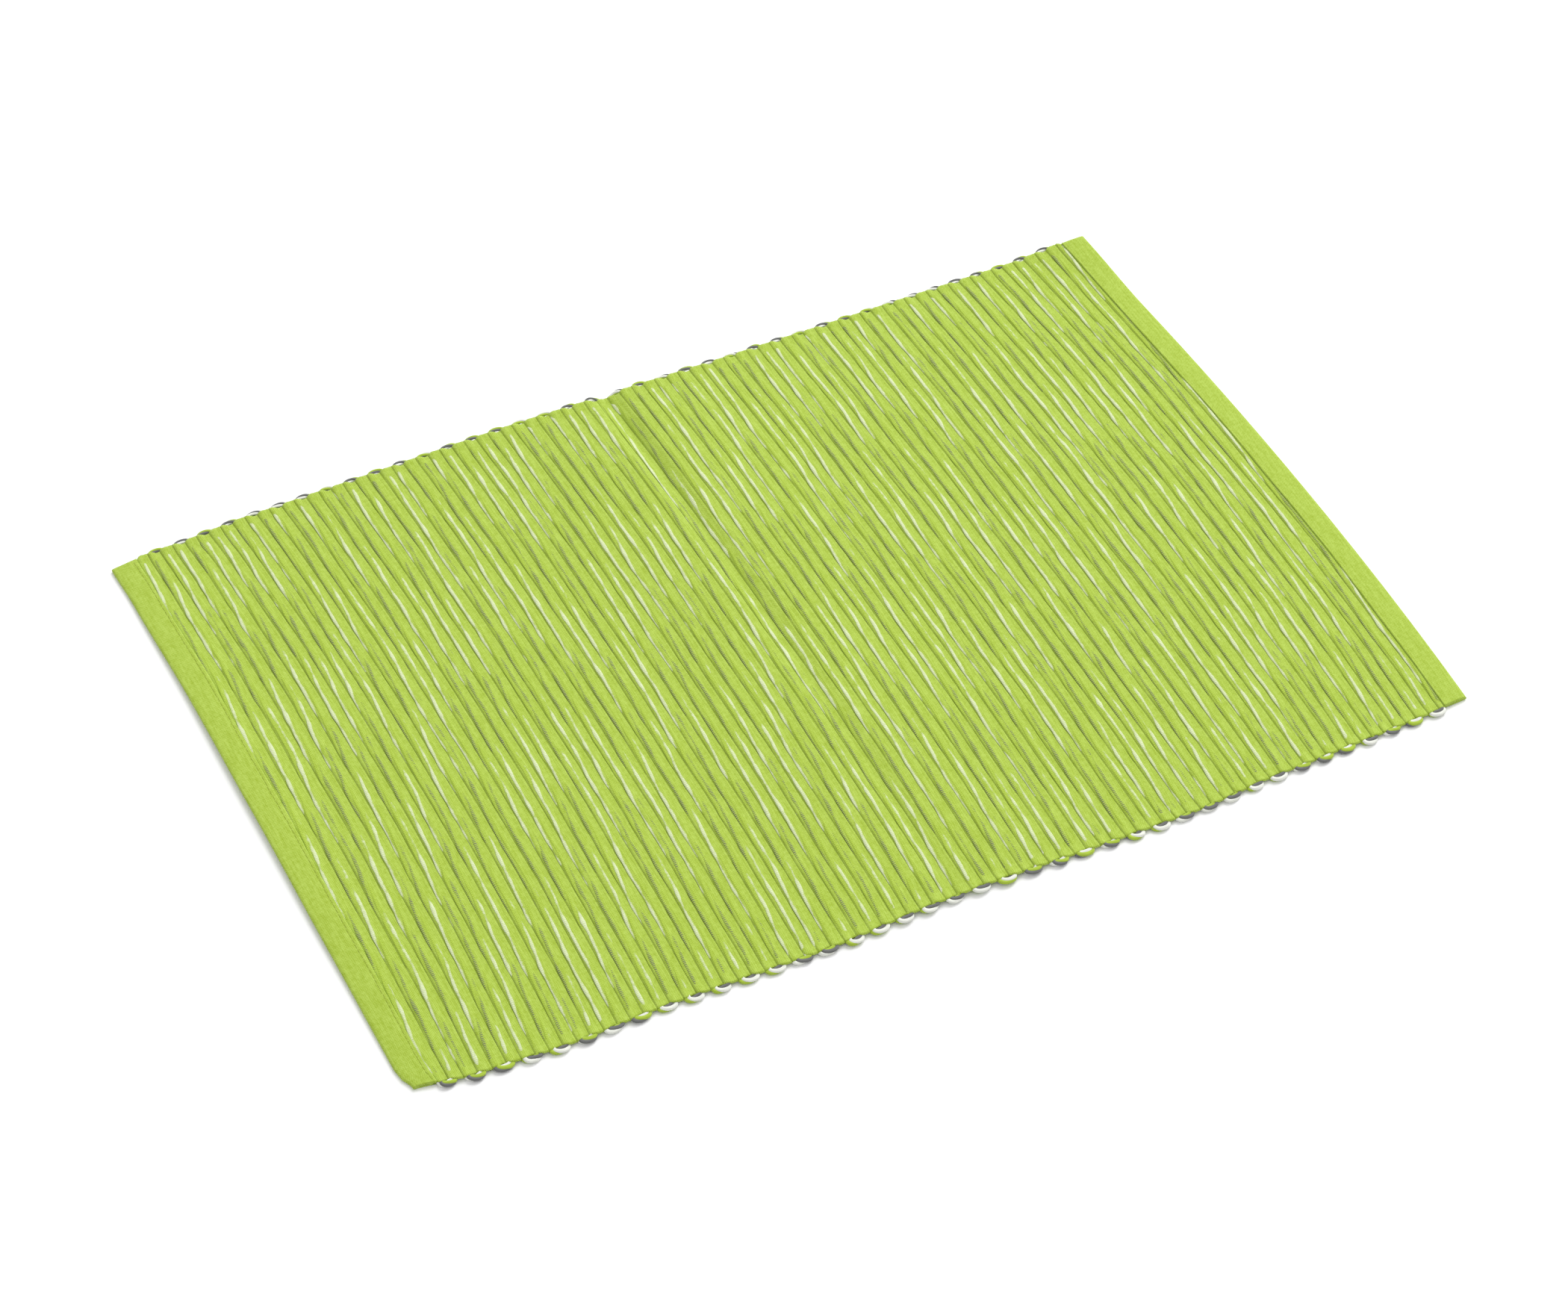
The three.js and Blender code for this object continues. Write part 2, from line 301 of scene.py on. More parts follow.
def cloth_wander(plan, habits, x, y):
    """How far the ground cloth moves with the picks beside it; none at the hems."""
    spot = (x + plan.first_pick) / plan.pitch
    before = np.clip(np.floor(spot).astype(int), 0, plan.picks - 2)
    share = np.clip(spot - before, 0, 1)
    moved = (1 - share) * pick_wander(habits, before, y) + share * pick_wander(habits, before + 1, y)
    fade = 1 - ease(np.abs(x) - plan.first_pick, *WANDER_FADES)
    return moved * fade


def weft_run(plan, habits):
    """The fat weft's way through the cloth, back and forth with a loop at each turn.

    Gives at each point the bundle's centre, its side direction, its turn, how much it is a loop, its pick,
    and how far it dips under the cloth's edge.
    """
    y_end = plan.half_width - LOOP_START
    steps = np.linspace(-y_end, y_end, PICK_STEPS)
    step = steps[1] - steps[0]
    loop_angle = np.linspace(0, math.pi, LOOP_STEPS + 2)[1:-1]
    reach = {-1: plan.loop_reach + LOOP_START - FRONT_LOOP["spread"] - FRONT_LOOP["half_wide"],
             1: BACK_REACH * plan.loop_reach + LOOP_START - BACK_LOOP["spread"] - BACK_LOOP["half_wide"]}
    turn_rate = FULL_TURN / TURN_LENGTH
    runs, turn = [], habits.first_turn
    for pick in range(plan.picks):
        heading = 1 if pick % 2 else -1
        y = steps[::heading]
        x = plan.pick_x[pick] + pick_wander(habits, pick, y)
        wave = np.sin(FULL_TURN * y / habits.twist_wave[pick] + habits.twist_start[pick])
        turns = turn + np.cumsum(turn_rate * step * (habits.twist[pick] + TWIST_SWING * wave))
        near_loop = ease(np.abs(y), y_end - LOOP_OPENS, y_end)
        uneven = np.where(y > 0, habits.uneven[pick, 1], habits.uneven[pick, 2])
        dip = bell((y_end - EDGE_DIP["inward"] - np.abs(y)) / EDGE_DIP["reach"])
        dip *= (EDGE_DIP["depth"] + EDGE_DIP["uneven"] * uneven) * (1 - EDGE_DIP["gone"] * near_loop)
        runs.append(np.stack([x, y, np.full_like(y, heading), np.zeros_like(y), turns, near_loop,
                              np.full_like(y, pick), dip], axis=-1))
        turn = turns[-1]
        if pick == plan.picks - 1:
            break
        next_x = plan.pick_x[pick + 1] + pick_wander(habits, pick + 1, heading * y_end)
        middle, half = (x[-1] + next_x) / 2, (next_x - x[-1]) / 2
        out = reach[heading] * (1 + LOOP_UNEVEN * habits.uneven[pick, 0])
        loop_x = middle - half * np.cos(loop_angle)
        loop_y = heading * (y_end + out * np.sin(loop_angle) ** LOOP_FLAT)
        slope = LOOP_FLAT * np.cos(loop_angle) * np.sin(loop_angle) ** (LOOP_FLAT - 1)
        along = np.stack([half * np.sin(loop_angle), heading * out * slope])
        along /= np.linalg.norm(along, axis=0)
        turns = turn - habits.loop_twist[pick] * loop_angle / math.pi
        runs.append(np.stack([loop_x, loop_y, along[1], -along[0], turns, np.ones_like(loop_x),
                              np.full_like(loop_x, pick), np.zeros_like(loop_x)], axis=-1))
        turn = turns[-1] - habits.loop_twist[pick] / (LOOP_STEPS + 1)
    run = np.concatenate(runs)
    return SimpleNamespace(x=run[:, 0], y=run[:, 1], side=run[:, 2:4], turn=run[:, 4], loop=run[:, 5],
                           pick=run[:, 6].astype(int), dip=run[:, 7])


def yarn_in_rib(habits, yarn, pick, y, turn):
    """One yarn's place in a rib: sideways, height, half width and half thickness."""
    which = list(YARNS).index(yarn)
    angle = turn + math.radians(YARNS[yarn])
    aside, fat = (sum(np.sin(FULL_TURN * y / wave + habits.stray[kind, which, i][pick])
                      for i, wave in enumerate(STRAY_WAVES)) for kind in (0, 1))
    fat = YARN_PUFF[yarn] * (1 + STRAY_FAT * fat)
    return (RIB_BUNDLE["spread"] * np.cos(angle) + STRAY_ASIDE * aside,
            RIB_BUNDLE["mid"] + RIB_BUNDLE["stack"] * np.sin(angle),
            RIB_BUNDLE["half_wide"] * fat, RIB_BUNDLE["half_tall"] * fat)


def yarn_in_loop(yarn, y, turn):
    """One yarn's place in a loop at the front or back edge: as in a rib, but round."""
    angle = turn + math.radians(YARNS[yarn])
    size = {name: np.where(y > 0, BACK_LOOP[name], FRONT_LOOP[name]) for name in FRONT_LOOP}
    return (size["spread"] * np.cos(angle), size["mid"] + size["stack"] * np.sin(angle),
            size["half_wide"] * LOOP_PUFF[yarn], size["half_tall"] * LOOP_PUFF[yarn])


def grid_mesh(name, points, values, uv_name, flat):
    """A grid with a place for each of its points, rows first.

    values holds numbers that the material reads, one for each point, and flat is the UV map named uv_name.
    """
    rows, columns = points.shape[:2]
    grid = bmesh.new()
    bmesh.ops.create_grid(grid, x_segments=columns - 1, y_segments=rows - 1, size=1)
    mesh = bpy.data.meshes.new(name)
    grid.to_mesh(mesh)
    grid.free()
    if len(mesh.vertices) != rows * columns:
        raise RuntimeError("the grid of " + name + " doesn't have a vertex for each point")
    mesh.vertices.foreach_set("co", points.reshape(-1).astype(np.float32))
    for value, numbers in values.items():
        attribute = mesh.attributes.new(value, "FLOAT", "POINT")
        attribute.data.foreach_set("value", numbers.reshape(-1).astype(np.float32))
    corner = np.zeros(len(mesh.loops), np.int32)
    mesh.loops.foreach_get("vertex_index", corner)
    spread = flat.reshape(-1, 2)[corner].astype(np.float32)
    mesh.uv_layers.new(name=uv_name).uv.foreach_set("vector", spread.reshape(-1))
    mesh.update()
    return mesh


def rolled_up(mesh):
    """Closes grids with two opposite sides that meet into tubes with end caps."""
    tube = bmesh.new()
    tube.from_mesh(mesh)
    bmesh.ops.remove_doubles(tube, verts=tube.verts, dist=MERGE_DISTANCE)
    bmesh.ops.holes_fill(tube, edges=tube.edges, sides=0)
    bmesh.ops.recalc_face_normals(tube, faces=tube.faces)
    tube.to_mesh(mesh)
    tube.free()
    return mesh


def length_along(points):
    """How far each point of a line lies along it."""
    return np.concatenate([[0], np.cumsum(np.linalg.norm(np.diff(points, axis=0), axis=1))])


def show(name, mesh, material):
    """Makes a finished mesh a piece of the placemat that rides on the frame."""
    piece = bpy.data.objects.new(name, mesh)
    bpy.context.scene.collection.objects.link(piece)
    mesh.materials.clear()
    mesh.materials.append(material)
    mesh.polygons.foreach_set("use_smooth", np.ones(len(mesh.polygons), bool))
    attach(piece, "root")
    return piece


def node(tree, kind, settings=None, inputs=None):
    """Adds a node, sets its settings, and sets or links its inputs."""
    made = tree.nodes.new(kind)
    for name, value in (settings or {}).items():
        setattr(made, name, value)
    for name, value in (inputs or {}).items():
        if isinstance(value, bpy.types.NodeSocket):
            tree.links.new(value, made.inputs[name])
        else:
            made.inputs[name].default_value = value
    return made


def shaded(colour, factor):
    """A linear colour made darker or lighter, by one factor or by one for each channel, with alpha."""
    return tuple(float(c) for c in np.minimum(1.0, np.multiply(colour, factor))) + (1.0,)


def new_material(name):
    """An empty node material and its tree."""
    material = bpy.data.materials.new(name)
    material.use_nodes = True
    tree = material.node_tree
    tree.nodes.clear()
    return material, tree


def lime_plain_weave():
    """Matt cotton in plain weave: fine dots of thread, slightly uneven in colour, with painted shade in
    hollows and grooves and painted light on thread tops.
    """
    material, tree = new_material("lime_cotton_plain_weave")
    colours = bpy.context.scene.placemat_colours
    # Dots of thread 0.8 mm apart along the cloth, and across it as far apart as the warp ends over the ribs.
    thread = {"X": 0.8 * MM, "Y": HATCH_PITCH * MM}
    # Threads aren't quite straight: they wander about 0.3 mm in waves of 4 mm.
    wander_wave, wander_reach = 4 * MM, 0.8 * MM
    # Slubs and dye: patches of about 18 mm, threads 1.5 mm wide, and weft lines 0.8 by 12 mm along the ribs.
    patch_size, slub_size, line_wide, line_long = 18 * MM, 1.5 * MM, 0.8 * MM, 12 * MM
    # Shares of the slubs in the mottle and of the mottle in the tone, and the darkest and lightest tones.
    slub_share, mottle_share, tone_low, tone_high = 0.5, 0.67, 0.34, 0.66
    # Painted shade and painted light: the hollows between threads are a darker green and the threads' tops a
    # little lighter and paler, mixed with the cloth's own uneven tone.
    shaded_hollow = shaded(colours.lime, (0.71, 0.735, 0.22))
    lit_pale_top = shaded(np.multiply(colours.lime, 1.03) + np.multiply(colours.white, 0.06), 1.0)
    # The groove beside each rib is too narrow for light to reach its bottom everywhere.
    groove_bottom = shaded(colours.lime, (0.26, 0.28, 0.02))
    groove_least, groove_most = 0.22, 0.62

    flat = node(tree, "ShaderNodeUVMap", {"uv_map": "flat_cloth"})
    drift = node(tree, "ShaderNodeTexNoise", None,
                 {"Vector": flat.outputs["UV"], "Scale": 1 / wander_wave, "Detail": 1.0})
    bent = node(tree, "ShaderNodeVectorMath", {"operation": "MULTIPLY_ADD"},
                {0: drift.outputs["Color"], 1: (wander_reach, wander_reach, 0.0), 2: flat.outputs["UV"]})
    parts = node(tree, "ShaderNodeSeparateXYZ", None, {0: bent.outputs[0]})
    waves = []
    for axis in ("X", "Y"):
        scaled = node(tree, "ShaderNodeMath", {"operation": "MULTIPLY"},
                      {0: parts.outputs[axis], 1: FULL_TURN / thread[axis]})
        waves.append(node(tree, "ShaderNodeMath", {"operation": "SINE"}, {0: scaled.outputs[0]}))
    weave = node(tree, "ShaderNodeMath", {"operation": "MULTIPLY"},
                 {0: waves[0].outputs[0], 1: waves[1].outputs[0]})
    height = node(tree, "ShaderNodeMapRange", None,
                  {"Value": weave.outputs[0], "From Min": -1.0, "From Max": 1.0})
    place = node(tree, "ShaderNodeTexCoord")
    patch = node(tree, "ShaderNodeTexNoise", None,
                 {"Vector": place.outputs["Object"], "Scale": 1 / patch_size, "Detail": 2.0})
    slub = node(tree, "ShaderNodeTexNoise", None,
                {"Vector": place.outputs["Object"], "Scale": 1 / slub_size, "Detail": 3.0})
    lines = node(tree, "ShaderNodeMapping", None,
                 {"Vector": flat.outputs["UV"], "Scale": (1 / line_wide, 1 / line_long, 1.0)})
    weft = node(tree, "ShaderNodeTexNoise", None, {"Vector": lines.outputs[0], "Scale": 1.0, "Detail": 2.0})
    mottle = node(tree, "ShaderNodeMix", {"data_type": "FLOAT"},
                  {0: slub_share, 2: weft.outputs["Fac"], 3: slub.outputs["Fac"]})
    tone = node(tree, "ShaderNodeMix", {"data_type": "FLOAT"},
                {0: mottle_share, 2: height.outputs[0], 3: mottle.outputs[0]})
    ramp = node(tree, "ShaderNodeMapRange", None,
                {"Value": tone.outputs[0], "From Min": tone_low, "From Max": tone_high})
    # Painted shade in the hollows and painted light on the tops, by the weave's height, mixed with the
    # cloth's own mottle.
    colour = node(tree, "ShaderNodeMix", {"data_type": "RGBA"}, {0: ramp.outputs[0], 6: shaded_hollow, 7: lit_pale_top})
    groove = node(tree, "ShaderNodeAttribute", {"attribute_name": "in_shade"})
    uneven = node(tree, "ShaderNodeMapRange", None,
                  {"Value": patch.outputs["Fac"], "From Min": 0.35, "From Max": 0.6,
                   "To Min": groove_least, "To Max": groove_most})
    dark = node(tree, "ShaderNodeMath", {"operation": "MULTIPLY"},
                {0: groove.outputs["Fac"], 1: uneven.outputs[0]})
    deep = node(tree, "ShaderNodeMix", {"data_type": "RGBA"},
                {0: dark.outputs[0], 6: colour.outputs[2], 7: groove_bottom})
    bump = node(tree, "ShaderNodeBump", None,
                {"Strength": 0.5, "Distance": 0.25 * MM, "Height": tone.outputs[0]})
    cloth = node(tree, "ShaderNodeBsdfPrincipled", None,
                 {"Base Color": deep.outputs[2], "Roughness": 0.92, "Specular IOR Level": 0.15,
                  "Sheen Weight": 0.12, "Sheen Roughness": 0.6, "Normal": bump.outputs[0]})
    node(tree, "ShaderNodeOutputMaterial", None, {"Surface": cloth.outputs[0]})
    return material


def fibre_mix(tree, hairs, colours):
    """Streaks of fibre in each of the colours: painted shade where the fibres lie low and painted light where
    they stand up.
    """
    ramp = node(tree, "ShaderNodeMapRange", None,
                {"Value": hairs.outputs["Fac"], "From Min": 0.3, "From Max": 0.7})
    return [node(tree, "ShaderNodeMix", {"data_type": "RGBA"},
                 {0: ramp.outputs[0], 6: shaded(colour, FIBRE_SHADE_AND_LIGHT[0]), 7: shaded(colour, FIBRE_SHADE_AND_LIGHT[1])})
            for colour in colours]


def cotton_surface(tree, colour, strength, height):
    """The matt, slightly downy surface of spun cotton, with fibres that stand up 0.2 mm."""
    bump = node(tree, "ShaderNodeBump", None,
                {"Strength": strength, "Distance": 0.2 * MM, "Height": height})
    cotton = node(tree, "ShaderNodeBsdfPrincipled", None,
                  {"Base Color": colour, "Roughness": 0.95, "Specular IOR Level": 0.1,
                   "Sheen Weight": 0.15, "Sheen Roughness": 0.5, "Normal": bump.outputs[0]})
    node(tree, "ShaderNodeOutputMaterial", None, {"Surface": cotton.outputs[0]})


def sewing_thread():
    """Soft spun cotton thread: matt, with streaks as wide as its fibres."""
    material, tree = new_material("sewing_thread")
    place = node(tree, "ShaderNodeTexCoord")
    hairs = node(tree, "ShaderNodeTexNoise", None,
                 {"Vector": place.outputs["Object"], "Scale": 1 / (THREAD["fibre"] * MM), "Detail": 3.0})
    tint = fibre_mix(tree, hairs, [bpy.context.scene.placemat_colours.thread])[0]
    cotton_surface(tree, tint.outputs[2], 0.5, hairs.outputs["Fac"])
    return material


def woven_in_yarn(yarn):
    """Soft spun cotton that lies in the cloth: fibres, warp ends across it, and warp that hides its sides."""
    material, tree = new_material(yarn + "_spun_cotton")
    colours = bpy.context.scene.placemat_colours
    own = getattr(colours, yarn)
    # Fibres 0.35 mm wide and 3 mm long, tufts of 1.6 mm, and 8 mm waves in how the warp ends lie.
    fibre_wide, fibre_long, tuft_size, wave_size = 0.35 * MM, 3 * MM, 1.6 * MM, 8 * MM
    # How far the warp ends sway, in millimetres, how much they bunch up, and how soft their edges are.
    sway_reach, bunching, softness = 1.4, 1.6, 0.45
    # How far the cloth's edge on the yarn strays, in millimetres: with warp ends, with tufts and with fibres.
    notch, tuft_depth, fibre_depth = 0.04, 0.3, 0.4
    # Noise lies about a half, so that much of each measure is taken off again.
    bunched_mid, strayed_mid = bunching / 2, (tuft_depth + fibre_depth) / 2

    place = node(tree, "ShaderNodeTexCoord")
    along, loop, proud = (node(tree, "ShaderNodeAttribute", {"attribute_name": name})
                          for name in ("cloth_y", "in_loop", "proud"))
    unrolled = node(tree, "ShaderNodeUVMap", {"uv_map": "unrolled_yarn"})
    drawn = node(tree, "ShaderNodeMapping", None,
                 {"Vector": unrolled.outputs["UV"], "Scale": (1 / fibre_long, 1 / fibre_wide, 1.0)})
    hairs = node(tree, "ShaderNodeTexNoise", None, {"Vector": drawn.outputs[0], "Scale": 1.0, "Detail": 3.0})
    waves = node(tree, "ShaderNodeTexNoise", None,
                 {"Vector": place.outputs["Object"], "Scale": 1 / wave_size, "Detail": 2.0})
    sway = node(tree, "ShaderNodeMath", {"operation": "MULTIPLY_ADD"},
                {0: waves.outputs["Fac"], 1: sway_reach, 2: along.outputs["Fac"]})
    phase = node(tree, "ShaderNodeMath", {"operation": "MULTIPLY"},
                 {0: sway.outputs[0], 1: FULL_TURN / HATCH_PITCH})
    line = node(tree, "ShaderNodeMath", {"operation": "SINE"}, {0: phase.outputs[0]})
    # The lines are wider where warp ends bunch up.
    bunched = node(tree, "ShaderNodeMath", {"operation": "MULTIPLY_ADD"},
                   {0: waves.outputs["Fac"], 1: bunching, 2: line.outputs[0]})
    edge = math.cos(math.pi * HATCH_SHARE[yarn]) + bunched_mid
    crossed = node(tree, "ShaderNodeMapRange", {"interpolation_type": "SMOOTHSTEP"},
                   {"Value": bunched.outputs[0], "From Min": edge - softness, "From Max": edge + softness,
                    "To Max": HATCH_STRENGTH[yarn]})
    # Each warp end reaches a little further over the yarn than the gap beside it.
    notched = node(tree, "ShaderNodeMath", {"operation": "MULTIPLY_ADD"},
                   {0: line.outputs[0], 1: -notch, 2: proud.outputs["Fac"]})
    tufts = node(tree, "ShaderNodeTexNoise", None,
                 {"Vector": place.outputs["Object"], "Scale": 1 / tuft_size, "Detail": 2.0})
    ragged = node(tree, "ShaderNodeMath", {"operation": "MULTIPLY_ADD"},
                  {0: tufts.outputs["Fac"], 1: -tuft_depth, 2: notched.outputs[0]})
    frayed = node(tree, "ShaderNodeMath", {"operation": "MULTIPLY_ADD"},
                  {0: hairs.outputs["Fac"], 1: -fibre_depth, 2: ragged.outputs[0]})
    closed = node(tree, "ShaderNodeMapRange", {"interpolation_type": "SMOOTHSTEP"},
                  {"Value": frayed.outputs[0], "From Min": HIDDEN_BELOW - strayed_mid,
                   "From Max": CLEAR_ABOVE - strayed_mid, "To Min": 1.0, "To Max": 0.0})
    warp = node(tree, "ShaderNodeMath", {"operation": "MAXIMUM"},
                {0: crossed.outputs[0], 1: closed.outputs[0]})
    free = node(tree, "ShaderNodeMath", {"operation": "SUBTRACT"}, {0: 1.0, 1: loop.outputs["Fac"]})
    cover = node(tree, "ShaderNodeMath", {"operation": "MULTIPLY"}, {0: warp.outputs[0], 1: free.outputs[0]})
    in_rib, in_loop = fibre_mix(tree, hairs, [np.multiply(own, RIB_TINT[yarn]), own])
    spun = node(tree, "ShaderNodeMix", {"data_type": "RGBA"},
                {0: loop.outputs["Fac"], 6: in_rib.outputs[2], 7: in_loop.outputs[2]})
    # The lime that covers the yarn is striped by the same warp ends, with painted shade between them and
    # painted light on them.
    ends = node(tree, "ShaderNodeMapRange", None,
                {"Value": line.outputs[0], "From Min": -1.0, "From Max": 1.0})
    lime = node(tree, "ShaderNodeMix", {"data_type": "RGBA"},
                {0: ends.outputs[0], 6: shaded(colours.lime, 0.76), 7: shaded(colours.lime, 1.05)})
    tint = node(tree, "ShaderNodeMix", {"data_type": "RGBA"},
                {0: cover.outputs[0], 6: spun.outputs[2], 7: lime.outputs[2]})
    height = node(tree, "ShaderNodeMath", {"operation": "ADD"},
                  {0: hairs.outputs["Fac"], 1: cover.outputs[0]})
    cotton_surface(tree, tint.outputs[2], 0.6, height.outputs[0])
    return material


def swell(offset):
    """How far the cloth rises over the fat weft, at a distance from the pick's centre."""
    return np.interp(offset, RIB_OFFSETS, RIB_HEIGHTS)


def cloth_section(plan):
    """The ground cloth from hem to hem: flat x, height, shade and length along the cloth."""
    hem_side = [(plan.half_length - inward * plan.hem_scale, height, 0)
                for inward, height in HEM_UPPER + HEM_LOWER]
    left = [(-x, z, shade) for x, z, shade in hem_side]
    middle = []
    for pick, x in enumerate(plan.pick_x):
        middle += [(x + offset, BAND_MID + swell(offset), shade)
                   for offset, shade in zip(RIB_OFFSETS, RIB_SHADE)]
        if pick < plan.picks - 1:
            middle.append((x + plan.pitch / 2, BAND_MID, 0))
    section = np.array(left + middle + hem_side[::-1])
    return section[:, 0], section[:, 1], section[:, 2], length_along(section[:, :2])


def edge_tongue(plan, x, y):
    """How much the cloth's edge runs out over a loop at x: 1 at its middle, 0 between loops and at hems."""
    spot = (x + plan.first_pick) / plan.pitch
    from_loop = np.abs((spot + np.where(y > 0, 0.5, 1.5)) % 2 - 1)
    inside = 1 - ease(np.abs(x) - plan.first_pick, *TONGUE_FADES)
    return inside * bell((from_loop / TONGUE["half"]) ** TONGUE["square"])


class PLACEMAT_OT_ground_cloth(bpy.types.Operator):
    """Makes the lime cloth: plain bands, a swell over each fat pick, and a hem turned up at each end"""
    bl_idname = "placemat.ground_cloth"
    bl_label = "Ground cloth"

    def execute(self, context):
        plan = cloth_plan()
        habits = weft_habits(plan)
        flat_x, height, shade, along = cloth_section(plan)
        edge = plan.half_width - np.array(EDGE_STEPS)
        inner = np.linspace(-edge[-1], edge[-1], CLOTH_ROWS + 1)[1:-1]
        flat_y = np.concatenate([-edge, inner, edge[::-1]])
        x, y = np.meshgrid(flat_x, flat_y)
        tongue = edge_tongue(plan, x, y)
        near_edge = ease(np.abs(y), plan.half_width - TONGUE["starts"], plan.half_width)
        out = near_edge * (TONGUE["out"] * tongue - TONGUE["back"] * (1 - tongue))
        lift = near_edge * TONGUE["lift"] * tongue
        points = lay_down(plan, x + cloth_wander(plan, habits, x, y), y + np.sign(y) * out,
                          np.tile(height, (len(flat_y), 1)) + lift)
        flat = np.stack(np.meshgrid(along, flat_y), axis=-1) * MM
        in_shade = np.tile(shade, (len(flat_y), 1))
        mesh = grid_mesh("ground_cloth", points, {"in_shade": in_shade}, "flat_cloth", flat)
        piece = show("ground_cloth", mesh, lime_plain_weave())
        thick = piece.modifiers.new("cloth thickness", "SOLIDIFY")
        thick.thickness, thick.offset = CLOTH_THICK * MM, 0
        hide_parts(PLACEMAT_NODE)
        return {"FINISHED"}


class PLACEMAT_OT_weft_yarns(bpy.types.Operator):
    """Makes the three yarns of the fat weft, each one thread through all the ribs and loops"""
    bl_idname = "placemat.weft_yarns"
    bl_label = "Weft yarns"

    def execute(self, context):
        plan = cloth_plan()
        habits = weft_habits(plan)
        run = weft_run(plan, habits)
        rng = np.random.default_rng(KNOT_SEED)
        round_yarn = np.radians(YARN_ROUND)
        face = BAND_MID + CLOTH_THICK / 2
        loop_share = run.loop[:, None]
        for yarn in YARNS:
            rib = yarn_in_rib(habits, yarn, run.pick, run.y, run.turn)
            loop = yarn_in_loop(yarn, run.y, run.turn)
            aside, up, wide, tall = (r[:, None] + (l - r)[:, None] * loop_share for r, l in zip(rib, loop))
            knot = np.zeros(len(run.x))
            spots = rng.integers(1, len(knot) - 1, KNOTS)
            knot[spots] = rng.uniform(*KNOT_SIZES, KNOTS)
            knot = 1 + KNOT_SWELLS * knot[:, None] * (1 - loop_share)
            up, wide, tall = up - run.dip[:, None], wide * knot, tall * knot
            aside, up = aside + wide * np.cos(round_yarn), up + tall * np.sin(round_yarn)
            points = lay_down(plan, run.x[:, None] + aside * run.side[:, :1],
                              run.y[:, None] + aside * run.side[:, 1:], up)
            values = {"cloth_y": np.broadcast_to(run.y[:, None], up.shape),
                      "in_loop": np.broadcast_to(loop_share, up.shape),
                      "proud": up - face - swell(aside * run.side[:, :1]) + loop_share}
            along = length_along(points.mean(axis=1))[:, None]
            around = YARN_GIRTH * MM * (round_yarn - round_yarn[0]) / FULL_TURN
            unrolled = np.stack(np.broadcast_arrays(along, around), axis=-1)
            mesh = rolled_up(grid_mesh("weft_yarn_" + yarn, points, values, "unrolled_yarn", unrolled))
            show("weft_yarn_" + yarn, mesh, woven_in_yarn(yarn))
        return {"FINISHED"}


class PLACEMAT_OT_hem_stitches(bpy.types.Operator):
    """Makes the seam of sewing thread that holds each hem"""
    bl_idname = "placemat.hem_stitches"
    bl_label = "Hem stitches"

    def execute(self, context):
        plan = cloth_plan()
        rng = np.random.default_rng(SEAM_SEED)
        seam_inward, seam_mid = HEM_SEAM
        shares, heights = np.array(STITCH_BOW).T
        angles = np.linspace(0, FULL_TURN, THREAD["sides"] + 1)[:, None]
        aside, up = THREAD["radius"] * np.cos(angles), THREAD["radius"] * np.sin(angles)
        count = int((2 * plan.half_width - THREAD["bare"]) / plan.stitch)
        seam = bmesh.new()
        for end, sunk in SEAM_SUNK.items():
            for row in range(count):
                sway = rng.uniform(-THREAD["sway"], THREAD["sway"], 2)
                x = end * (plan.half_length - seam_inward * plan.hem_scale) + sway[0] + sway[1] * shares * 2
                y = (row - (count - 1) / 2 + shares) * plan.stitch
                z = seam_mid + CLOTH_THICK / 2 + heights - sunk
                spots = lay_down(plan, x + aside, y, z + up)
                thread = bmesh.ops.create_grid(seam, x_segments=len(STITCH_BOW) - 1,
                                               y_segments=THREAD["sides"], size=1)
                for vert, spot in zip(thread["verts"], spots.reshape(-1, 3)):
                    vert.co = spot
        mesh = bpy.data.meshes.new("hem_stitches")
        seam.to_mesh(mesh)
        seam.free()
        show("hem_stitches", rolled_up(mesh), sewing_thread())
        return {"FINISHED"}


class PLACEMAT_OT_declare_cloth(bpy.types.Operator):
    bl_idname = "placemat.declare_cloth"
    bl_label = "Declare cloth"

    def execute(self, context):
        plan = cloth_plan()
        return {"FINISHED"}


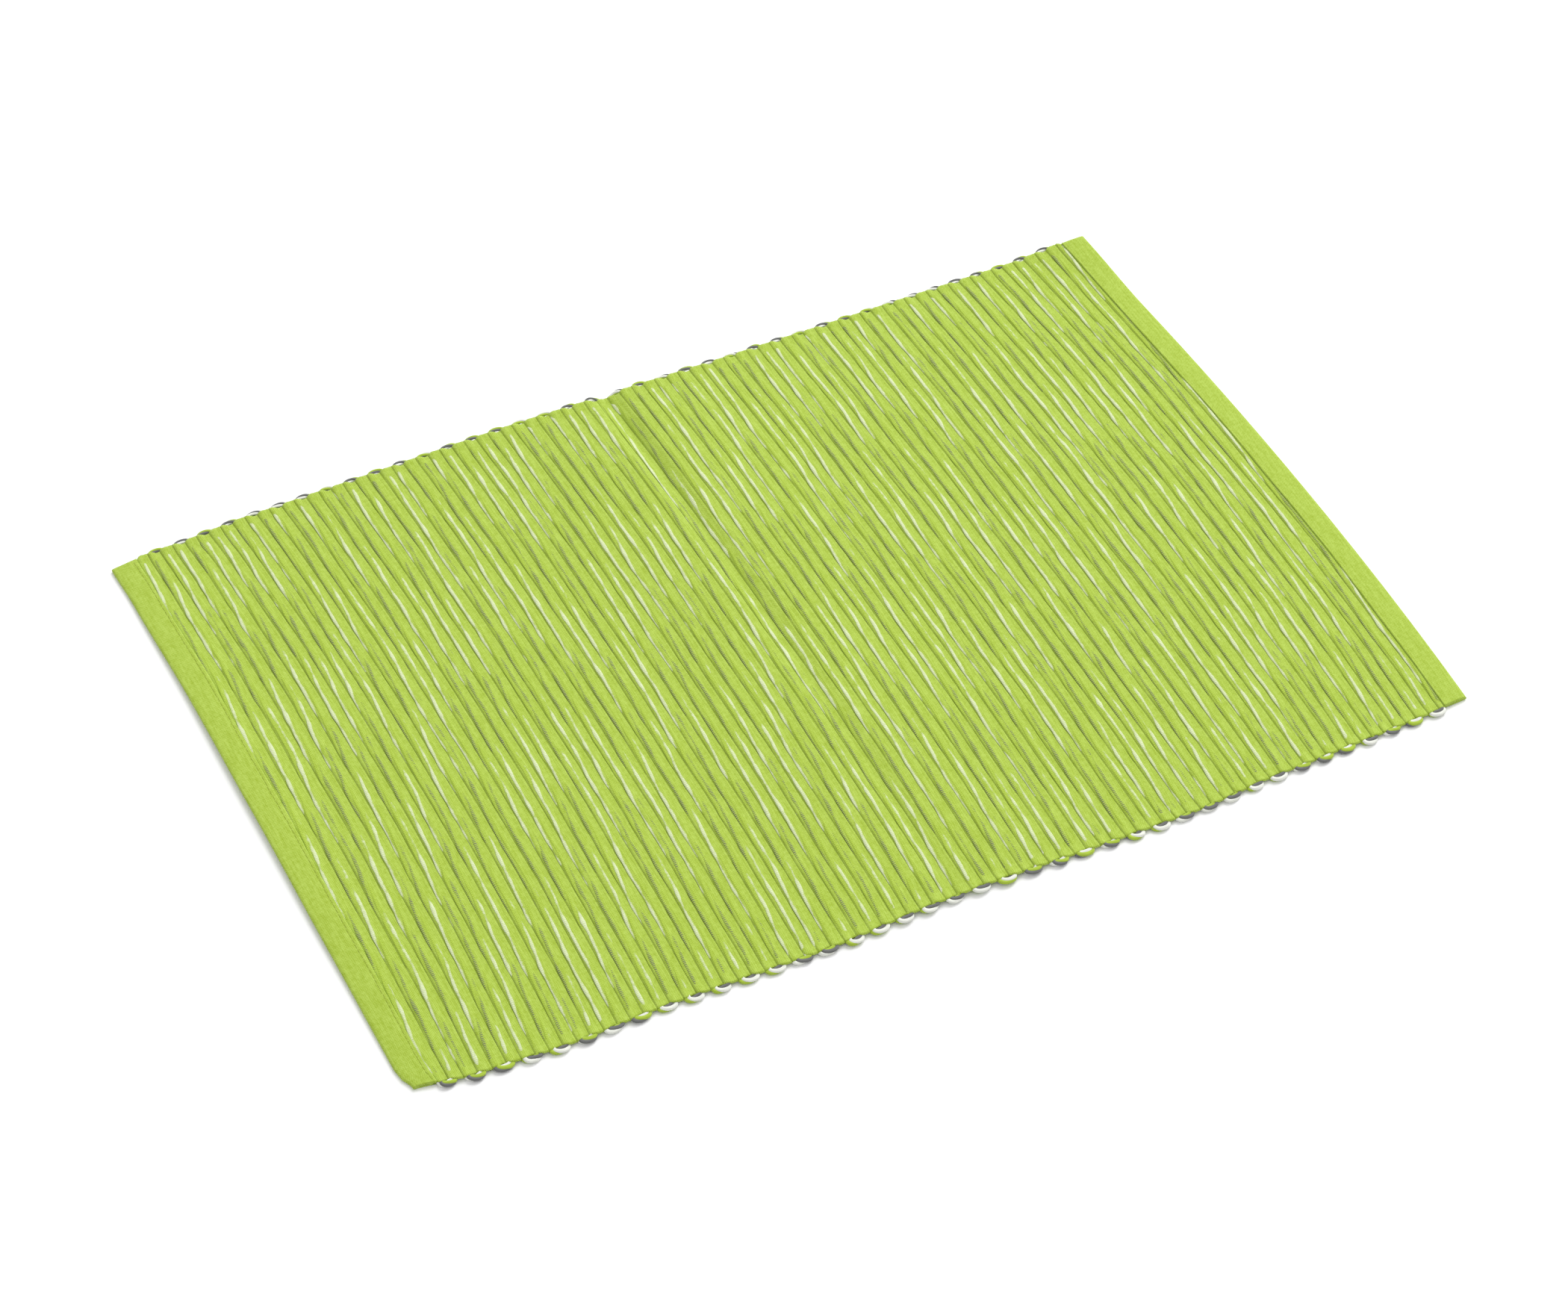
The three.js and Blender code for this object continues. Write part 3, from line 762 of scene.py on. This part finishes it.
class PLACEMAT_OT_stage(bpy.types.Operator):
    """Makes the pale floor, the soft studio light and the camera"""
    bl_idname = "placemat.stage"
    bl_label = "Stage"

    def execute(self, context):
        scene = context.scene
        scene.view_settings.view_transform = "Standard"
        sweep = bmesh.new()
        bmesh.ops.create_grid(sweep, x_segments=1, y_segments=1, size=FLOOR_HALF)
        mesh = bpy.data.meshes.new("pale_floor")
        sweep.to_mesh(mesh)
        sweep.free()
        floor = bpy.data.objects.new("pale_floor", mesh)
        scene.collection.objects.link(floor)
        material, tree = new_material("white_paper_sweep")
        paper = node(tree, "ShaderNodeBsdfPrincipled", None,
                     {"Base Color": linear("#F6F6F6") + (1.0,), "Roughness": 0.9, "Specular IOR Level": 0.1})
        node(tree, "ShaderNodeOutputMaterial", None, {"Surface": paper.outputs[0]})
        mesh.materials.append(material)

        world = bpy.data.worlds.new("studio_white")
        world.use_nodes = True
        world.node_tree.nodes["Background"].inputs["Color"].default_value = (1, 1, 1, 1)
        world.node_tree.nodes["Background"].inputs["Strength"].default_value = WORLD_STRENGTH
        scene.world = world

        lamp = bpy.data.lights.new("soft_key", "AREA")
        lamp.shape, lamp.size, lamp.energy = "SQUARE", KEY["size"], KEY["energy"]
        key = bpy.data.objects.new("soft_key", lamp)
        key.location = KEY["place"]
        key.rotation_euler = (-Vector(key.location)).to_track_quat("-Z", "Y").to_euler()
        scene.collection.objects.link(key)

        lens = bpy.data.cameras.new("photo_view")
        lens.sensor_fit, lens.sensor_width, lens.lens = "HORIZONTAL", CAMERA["sensor"], CAMERA["lens"]
        camera = bpy.data.objects.new("photo_view", lens)
        camera.location = CAMERA["place"]
        camera.rotation_euler = (math.radians(90 - CAMERA["down"]), 0, math.radians(CAMERA["turn"]))
        scene.collection.objects.link(camera)
        scene.camera = camera
        return {"FINISHED"}


class PLACEMAT_PT_panel(bpy.types.Panel):
    """Lists the placemat's sizes, colours and pieces"""
    bl_idname = "PLACEMAT_PT_panel"
    bl_label = "Placemat"
    bl_space_type = "VIEW_3D"
    bl_region_type = "UI"
    bl_category = "Placemat"

    def draw(self, context):
        for group in (context.scene.placemat_sizes, context.scene.placemat_colours):
            for name in group.__annotations__:
                self.layout.prop(group, name)
        for operator in OPERATORS:
            self.layout.operator(operator.bl_idname)


OPERATORS = (PLACEMAT_OT_ground_cloth, PLACEMAT_OT_weft_yarns,
             PLACEMAT_OT_hem_stitches, PLACEMAT_OT_declare_cloth, PLACEMAT_OT_stage)
CLASSES = (PlacematSizes, PlacematColours) + OPERATORS + (PLACEMAT_PT_panel,)


def register():
    for cls in CLASSES:
        bpy.utils.register_class(cls)
    bpy.types.Scene.placemat_sizes = PointerProperty(type=PlacematSizes)
    bpy.types.Scene.placemat_colours = PointerProperty(type=PlacematColours)


def unregister():
    del bpy.types.Scene.placemat_colours
    del bpy.types.Scene.placemat_sizes
    for cls in reversed(CLASSES):
        bpy.utils.unregister_class(cls)


def main():
    register()
    bpy.ops.placemat.ground_cloth()
    bpy.ops.placemat.weft_yarns()
    bpy.ops.placemat.hem_stitches()
    bpy.ops.placemat.declare_cloth()
    bpy.ops.placemat.stage()


if __name__ == "__main__":
    main()
